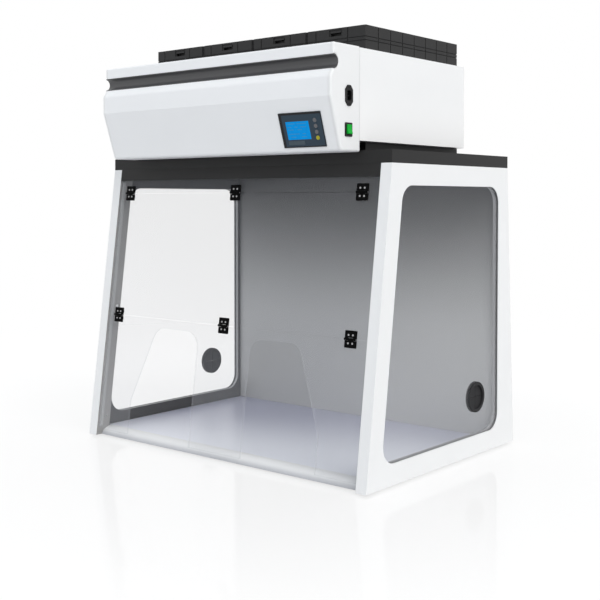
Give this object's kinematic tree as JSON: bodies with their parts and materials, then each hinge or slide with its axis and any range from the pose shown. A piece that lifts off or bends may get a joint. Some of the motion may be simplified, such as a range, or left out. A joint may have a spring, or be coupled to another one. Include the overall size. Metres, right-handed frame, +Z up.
{
  "type": "ductless fume hood",
  "caption": "Bench-top ductless fume hood with sloping clear hinged sashes, side windows, a fan head with a control panel, and filter cassettes on top.",
  "frame": {"origin": "middle of the bounding box, on the surface that the hood stands on", "axes": "+Z up; the sashes, fascia and control panel face -Y; +X is on the right for a user who stands in front, and its end of the fascia carries the power inlet"},
  "size_m": [1.002, 0.726, 1.1235],
  "materials": {
    "painted_white": "smooth white paint, satin",
    "wall_grey": "mid grey paint, satin",
    "liner_grey": "dark grey paint, satin",
    "dark_frame": "anthracite paint, satin",
    "clear_sheet": "clear polished acrylic",
    "work_surface": "pale blue-grey laminate, satin",
    "rubber_black": "matt rubber",
    "seal_clear": "translucent silicone",
    "filter_black": "moulded matt black plastic",
    "filter_fibre": "pale bonded fibre board",
    "black_plastic": "moulded black plastic",
    "steel": "plain bright steel",
    "motor_metal": "cast aluminium",
    "groove_grey": "dark grey satin plastic",
    "panel_slate": "slate film front",
    "display_blue": "clear front over a lit blue display",
    "board_green": "circuit board lacquer",
    "key_grey": "grey plastic",
    "key_yellow": "yellow plastic",
    "rocker_green": "translucent green plastic",
    "pale_trim": "pale plastic trim",
    "strip_grey": "light grey plastic strip"
  },
  "bodies": {
    "cabinet": {"base_tray": "painted_white", "worktop": "work_surface", "foot_pads": "rubber_black", "side_frame_left": "painted_white", "side_frame_right": "painted_white", "side_liner_left": "liner_grey", "side_liner_right": "liner_grey", "side_window_left": "clear_sheet", "side_window_right": "clear_sheet", "cable_port_left": "rubber_black", "cable_port_right": "rubber_black", "window_seals": "seal_clear", "back_liner": "wall_grey", "rear_cover": "painted_white", "rear_posts": "steel", "top_frame": "dark_frame", "front_apron": "dark_frame", "ceiling_grille": "liner_grey", "prefilter_panel": "filter_fibre", "head_collar": "dark_frame", "housing_shell": "painted_white", "fan_deck": "steel", "inlet_rings": "steel", "motor_bridges": "steel", "fan_motors": "motor_metal", "front_fascia": "painted_white", "fascia_end_left": "painted_white", "fascia_end_right": "painted_white", "groove_trim": "groove_grey", "control_panel": "panel_slate", "display_window": "display_blue", "display_board": "board_green", "power_supply": "motor_metal", "power_inlet": "black_plastic", "switch_bezel": "black_plastic", "filter_upper_1": "filter_black", "filter_upper_2": "filter_black", "filter_upper_3": "filter_black", "filter_upper_4": "filter_black", "filter_lower_tier": "filter_black", "fixed_strip": "clear_sheet", "hinge_leaves_fixed": "black_plastic", "hinge_pins_top": "steel", "hinge_screws_fixed": "steel", "rest_strips": "strip_grey", "stile_plugs": "pale_trim"},
    "upper_sash": {"sash_upper": "clear_sheet", "hinge_leaves_upper_sash": "black_plastic", "hinge_pins_middle": "steel", "hinge_screws_upper_sash": "steel"},
    "lower_sash": {"sash_lower": "clear_sheet", "hinge_leaves_lower_sash": "black_plastic", "hinge_screws_lower_sash": "steel"},
    "left_fan": {"impeller_left": "black_plastic"},
    "right_fan": {"impeller_right": "black_plastic"},
    "power_rocker": {"switch_rocker": "rocker_green"},
    "key_1": {"panel_key_1": "key_yellow"},
    "key_2": {"panel_key_2": "key_grey"},
    "key_3": {"panel_key_3": "key_grey"},
    "key_4": {"panel_key_4": "key_grey"}
  },
  "joints": [
    {"name": "upper_sash_hinge", "type": "hinge", "parent": "cabinet", "child": "upper_sash", "pos_m": [0, -0.25352, 0.70808], "axis": [-1, 0, 0], "range_deg": [0, 105]},
    {"name": "lower_sash_hinge", "type": "hinge", "parent": "upper_sash", "child": "lower_sash", "pos_m": [0, -0.30002, 0.35613], "axis": [-1, 0, 0], "range_deg": [0, 172]},
    {"name": "left_fan_spin", "type": "hinge", "parent": "cabinet", "child": "left_fan", "pos_m": [-0.19, 0.0355, 0.88], "axis": [0, 0, 1], "continuous": true},
    {"name": "right_fan_spin", "type": "hinge", "parent": "cabinet", "child": "right_fan", "pos_m": [0.19, 0.0355, 0.88], "axis": [0, 0, 1], "continuous": true},
    {"name": "power_rocker_tilt", "type": "hinge", "parent": "cabinet", "child": "power_rocker", "pos_m": [0.41, -0.296, 0.856], "axis": [0, 1, 0], "range_deg": [0, 18]},
    {"name": "key_1_press", "type": "slide", "parent": "cabinet", "child": "key_1", "axis": [0, 0.9523, 0.305], "range_m": [0, 0.0008], "stiffness_N_per_m": 250},
    {"name": "key_2_press", "type": "slide", "parent": "cabinet", "child": "key_2", "axis": [0, 0.9523, 0.305], "range_m": [0, 0.0008], "stiffness_N_per_m": 250},
    {"name": "key_3_press", "type": "slide", "parent": "cabinet", "child": "key_3", "axis": [0, 0.9523, 0.305], "range_m": [0, 0.0008], "stiffness_N_per_m": 250},
    {"name": "key_4_press", "type": "slide", "parent": "cabinet", "child": "key_4", "axis": [0, 0.9523, 0.305], "range_m": [0, 0.0008], "stiffness_N_per_m": 250}
  ]
}
